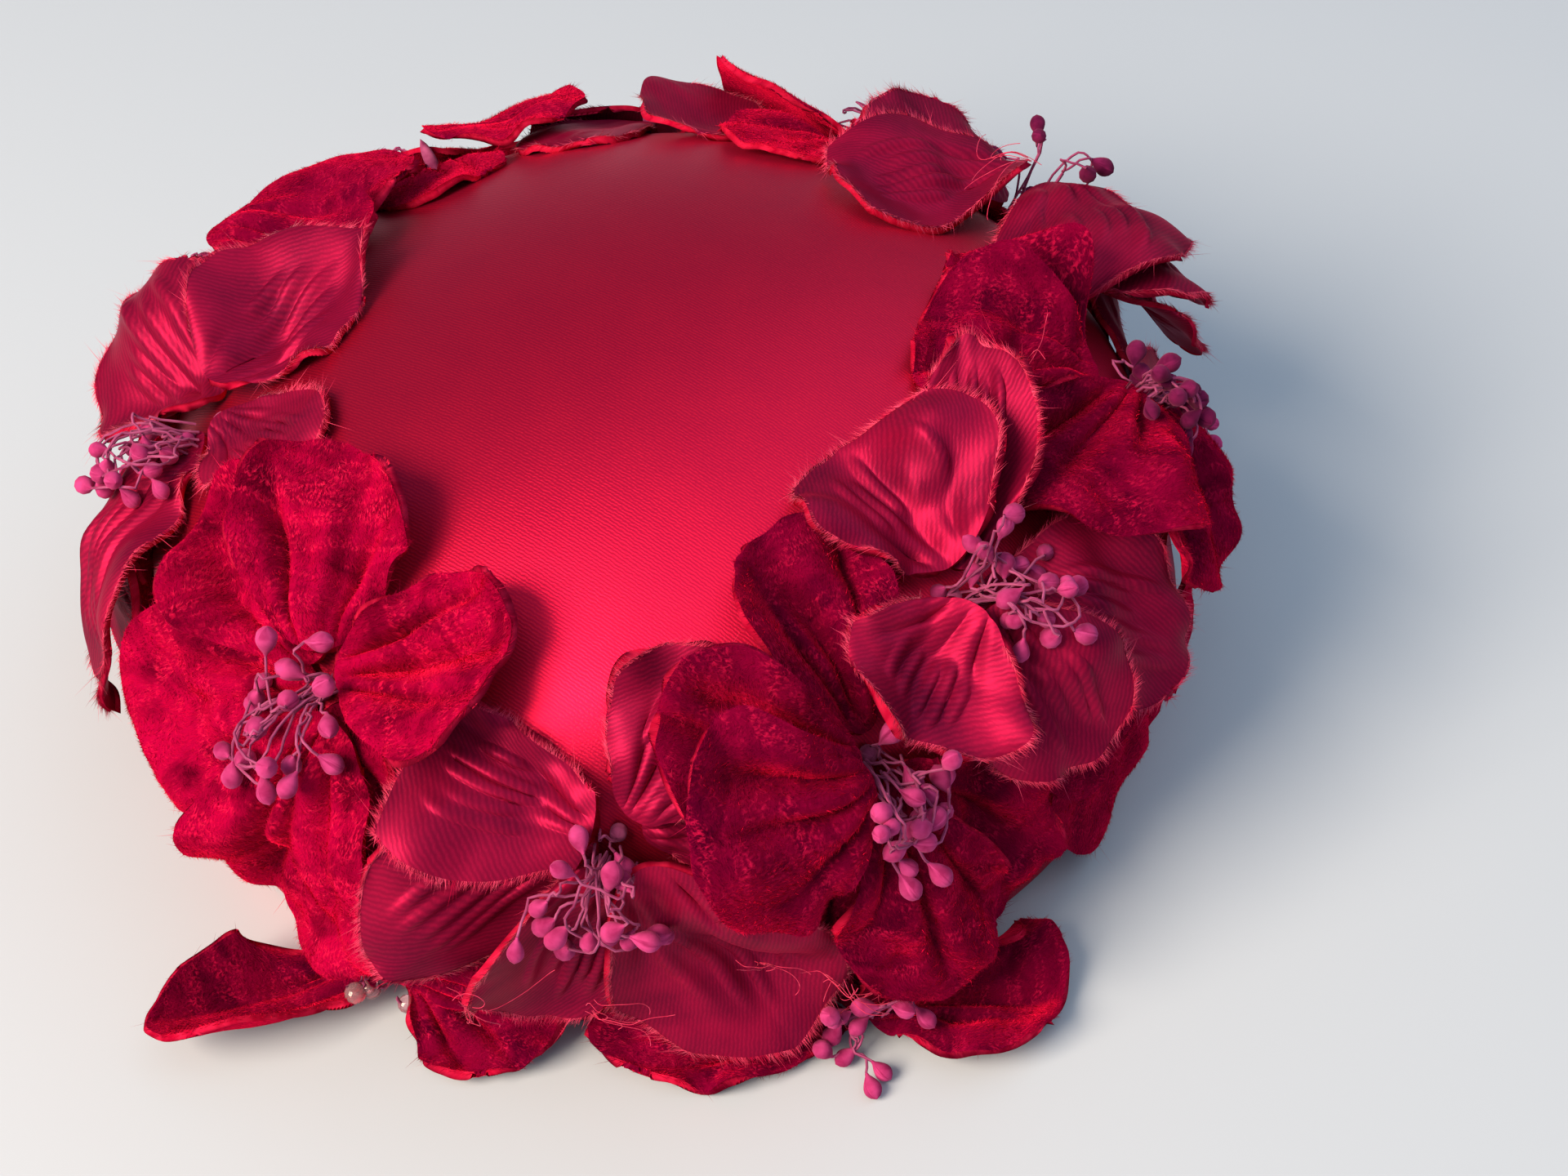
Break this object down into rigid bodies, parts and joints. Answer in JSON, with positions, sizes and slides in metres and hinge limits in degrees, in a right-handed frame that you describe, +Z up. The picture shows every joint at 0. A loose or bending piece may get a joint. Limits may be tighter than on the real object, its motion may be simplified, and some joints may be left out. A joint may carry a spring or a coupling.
{
  "type": "fascinator hat",
  "caption": "Domed satin fascinator hat, open below for the head, with a ring of overlapping satin and velvet petal flowers with beaded stamens round its side.",
  "frame": {"origin": "centre of the whole hat's box, on the surface that the hat stands on, within 1.5 mm", "axes": "+Z up, -Y the front with the most flowers in view, +X to the right of someone facing the front"},
  "size_m": [0.2055, 0.2075, 0.0888],
  "materials": {
    "crown_satin": "deep red satin stretched over a stiffened dome",
    "petal_satin": "crimson satin petals with pressed veins and frayed edges",
    "petal_velvet": "crimson pile velvet petals with frayed edges",
    "stamens": "matt mauve-pink dipped pips on thread stems"
  },
  "bodies": {
    "root": {"crown": "crown_satin", "flower_01_petal_1": "petal_satin", "flower_01_petal_2": "petal_satin", "flower_01_petal_3": "petal_satin", "flower_01_petal_4": "petal_satin", "flower_01_stamens": "stamens", "flower_02_petal_1": "petal_velvet", "flower_02_petal_2": "petal_velvet", "flower_02_petal_3": "petal_velvet", "flower_02_petal_4": "petal_velvet", "flower_02_petal_5": "petal_velvet", "flower_02_petal_6": "petal_velvet", "flower_02_stamens": "stamens", "flower_03_petal_1": "petal_satin", "flower_03_petal_2": "petal_satin", "flower_03_petal_3": "petal_satin", "flower_03_petal_4": "petal_satin", "flower_03_petal_5": "petal_satin", "flower_03_petal_6": "petal_satin", "flower_03_stamens": "stamens", "flower_04_petal_1": "petal_velvet", "flower_04_petal_2": "petal_velvet", "flower_04_petal_3": "petal_velvet", "flower_04_petal_4": "petal_velvet", "flower_04_petal_5": "petal_velvet", "flower_04_petal_6": "petal_velvet", "flower_04_stamens": "stamens", "flower_05_petal_1": "petal_satin", "flower_05_petal_2": "petal_satin", "flower_05_petal_3": "petal_satin", "flower_05_petal_4": "petal_satin", "flower_05_petal_5": "petal_satin", "flower_05_stamens": "stamens", "flower_06_petal_1": "petal_velvet", "flower_06_petal_2": "petal_velvet", "flower_06_petal_3": "petal_velvet", "flower_06_petal_4": "petal_velvet", "flower_06_petal_5": "petal_velvet", "flower_06_stamens": "stamens", "flower_07_petal_1": "petal_satin", "flower_07_petal_2": "petal_satin", "flower_07_petal_3": "petal_satin", "flower_07_petal_4": "petal_satin", "flower_07_petal_5": "petal_satin", "flower_07_stamens": "stamens", "flower_08": "petal_velvet", "flower_09": "petal_satin", "flower_10": "petal_velvet", "flower_11": "petal_velvet", "flower_12": "petal_velvet", "flower_13": "petal_velvet", "flower_14": "petal_velvet", "flower_15": "petal_satin", "flower_16": "petal_velvet", "flower_17": "petal_satin", "flower_18": "petal_velvet", "flower_19": "petal_satin", "flower_20": "petal_velvet", "flower_21": "petal_satin"}
  },
  "joints": []
}
